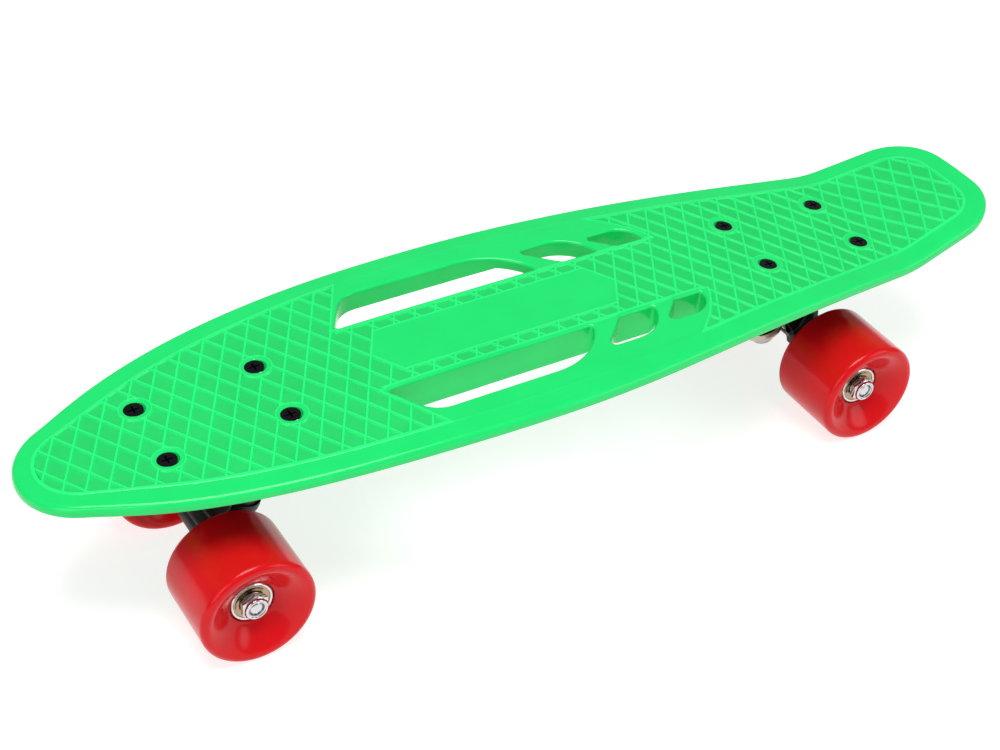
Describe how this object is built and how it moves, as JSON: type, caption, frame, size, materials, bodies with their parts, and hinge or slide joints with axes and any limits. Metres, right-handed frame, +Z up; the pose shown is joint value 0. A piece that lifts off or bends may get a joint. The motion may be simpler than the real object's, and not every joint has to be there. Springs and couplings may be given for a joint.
{
  "type": "skateboard",
  "caption": "Short plastic cruiser skateboard with a slotted deck, kick tail, two steering trucks and four rolling urethane wheels on ball bearings.",
  "frame": {"origin": "middle of the footprint of the whole board, on the ground that the four wheels stand on", "axes": "+X towards the nose, +Y to the left of a rider facing the nose, +Z up"},
  "size_m": [0.5634, 0.1536, 0.1061],
  "materials": {
    "deck_plastic": "moulded satin green",
    "black_steel": "black finish",
    "zinc_steel": "bright zinc",
    "black_alloy": "black powder coat on cast alloy",
    "nylon": "natural nylon",
    "bushing_urethane": "cast urethane",
    "wheel_urethane": "glossy cast urethane, slightly translucent",
    "bearing_steel": "ground steel",
    "shield_steel": "yellow passivated shield"
  },
  "bodies": {
    "board": {"deck": "deck_plastic", "front_deck_screws": "black_steel", "rear_deck_screws": "black_steel", "front_deck_nuts": "zinc_steel", "rear_deck_nuts": "zinc_steel", "front_baseplate": "black_alloy", "rear_baseplate": "black_alloy", "front_pivot_cup": "nylon", "rear_pivot_cup": "nylon", "front_kingpin": "zinc_steel", "rear_kingpin": "zinc_steel", "front_kingpin_nut": "zinc_steel", "rear_kingpin_nut": "zinc_steel", "front_board_bushing": "bushing_urethane", "rear_board_bushing": "bushing_urethane", "front_road_bushing": "bushing_urethane", "rear_road_bushing": "bushing_urethane", "front_board_washer": "zinc_steel", "rear_board_washer": "zinc_steel", "front_road_washer": "zinc_steel", "rear_road_washer": "zinc_steel"},
    "front_truck": {"front_hanger": "black_alloy", "front_axle": "zinc_steel", "front_left_inner_races": "bearing_steel", "front_left_spacer": "zinc_steel", "front_left_axle_washers": "zinc_steel", "front_left_axle_nut": "zinc_steel", "front_right_inner_races": "bearing_steel", "front_right_spacer": "zinc_steel", "front_right_axle_washers": "zinc_steel", "front_right_axle_nut": "zinc_steel"},
    "front_left_wheel_body": {"front_left_wheel": "wheel_urethane", "front_left_outer_races": "bearing_steel", "front_left_shields": "shield_steel"},
    "front_left_balls": {"front_left_ball_cages": "bearing_steel"},
    "front_right_wheel_body": {"front_right_wheel": "wheel_urethane", "front_right_outer_races": "bearing_steel", "front_right_shields": "shield_steel"},
    "front_right_balls": {"front_right_ball_cages": "bearing_steel"},
    "rear_truck": {"rear_hanger": "black_alloy", "rear_axle": "zinc_steel", "rear_left_inner_races": "bearing_steel", "rear_left_spacer": "zinc_steel", "rear_left_axle_washers": "zinc_steel", "rear_left_axle_nut": "zinc_steel", "rear_right_inner_races": "bearing_steel", "rear_right_spacer": "zinc_steel", "rear_right_axle_washers": "zinc_steel", "rear_right_axle_nut": "zinc_steel"},
    "rear_left_wheel_body": {"rear_left_wheel": "wheel_urethane", "rear_left_outer_races": "bearing_steel", "rear_left_shields": "shield_steel"},
    "rear_left_balls": {"rear_left_ball_cages": "bearing_steel"},
    "rear_right_wheel_body": {"rear_right_wheel": "wheel_urethane", "rear_right_outer_races": "bearing_steel", "rear_right_shields": "shield_steel"},
    "rear_right_balls": {"rear_right_ball_cages": "bearing_steel"}
  },
  "joints": [
    {"name": "front_steer", "type": "hinge", "parent": "board", "child": "front_truck", "pos_m": [0.17227, 0, 0.04894], "axis": [0.9494, 0, 0.314], "range_deg": [-12, 12], "stiffness_Nm_per_rad": 50, "deforming": ["front_board_bushing", "front_road_bushing"]},
    {"name": "front_left_wheel_spin", "type": "hinge", "parent": "front_truck", "child": "front_left_wheel_body", "pos_m": [0.1971, 0.0526, 0.03], "axis": [0, 1, 0], "continuous": true},
    {"name": "front_left_balls_roll", "type": "hinge", "parent": "front_truck", "child": "front_left_balls", "pos_m": [0.1971, 0.0526, 0.03], "axis": [0, 1, 0], "continuous": true},
    {"name": "front_right_wheel_spin", "type": "hinge", "parent": "front_truck", "child": "front_right_wheel_body", "pos_m": [0.1971, -0.0526, 0.03], "axis": [0, 1, 0], "continuous": true},
    {"name": "front_right_balls_roll", "type": "hinge", "parent": "front_truck", "child": "front_right_balls", "pos_m": [0.1971, -0.0526, 0.03], "axis": [0, 1, 0], "continuous": true},
    {"name": "rear_steer", "type": "hinge", "parent": "board", "child": "rear_truck", "pos_m": [-0.14647, 0, 0.04894], "axis": [-0.9494, 0, 0.314], "range_deg": [-12, 12], "stiffness_Nm_per_rad": 50, "deforming": ["rear_board_bushing", "rear_road_bushing"]},
    {"name": "rear_left_wheel_spin", "type": "hinge", "parent": "rear_truck", "child": "rear_left_wheel_body", "pos_m": [-0.1713, 0.0526, 0.03], "axis": [0, 1, 0], "continuous": true},
    {"name": "rear_left_balls_roll", "type": "hinge", "parent": "rear_truck", "child": "rear_left_balls", "pos_m": [-0.1713, 0.0526, 0.03], "axis": [0, 1, 0], "continuous": true},
    {"name": "rear_right_wheel_spin", "type": "hinge", "parent": "rear_truck", "child": "rear_right_wheel_body", "pos_m": [-0.1713, -0.0526, 0.03], "axis": [0, 1, 0], "continuous": true},
    {"name": "rear_right_balls_roll", "type": "hinge", "parent": "rear_truck", "child": "rear_right_balls", "pos_m": [-0.1713, -0.0526, 0.03], "axis": [0, 1, 0], "continuous": true}
  ],
  "couplings": [
    {"joint": "front_left_balls_roll", "follows": "front_left_wheel_spin", "ratio": 0.632},
    {"joint": "front_right_balls_roll", "follows": "front_right_wheel_spin", "ratio": 0.632},
    {"joint": "rear_left_balls_roll", "follows": "rear_left_wheel_spin", "ratio": 0.632},
    {"joint": "rear_right_balls_roll", "follows": "rear_right_wheel_spin", "ratio": 0.632}
  ]
}
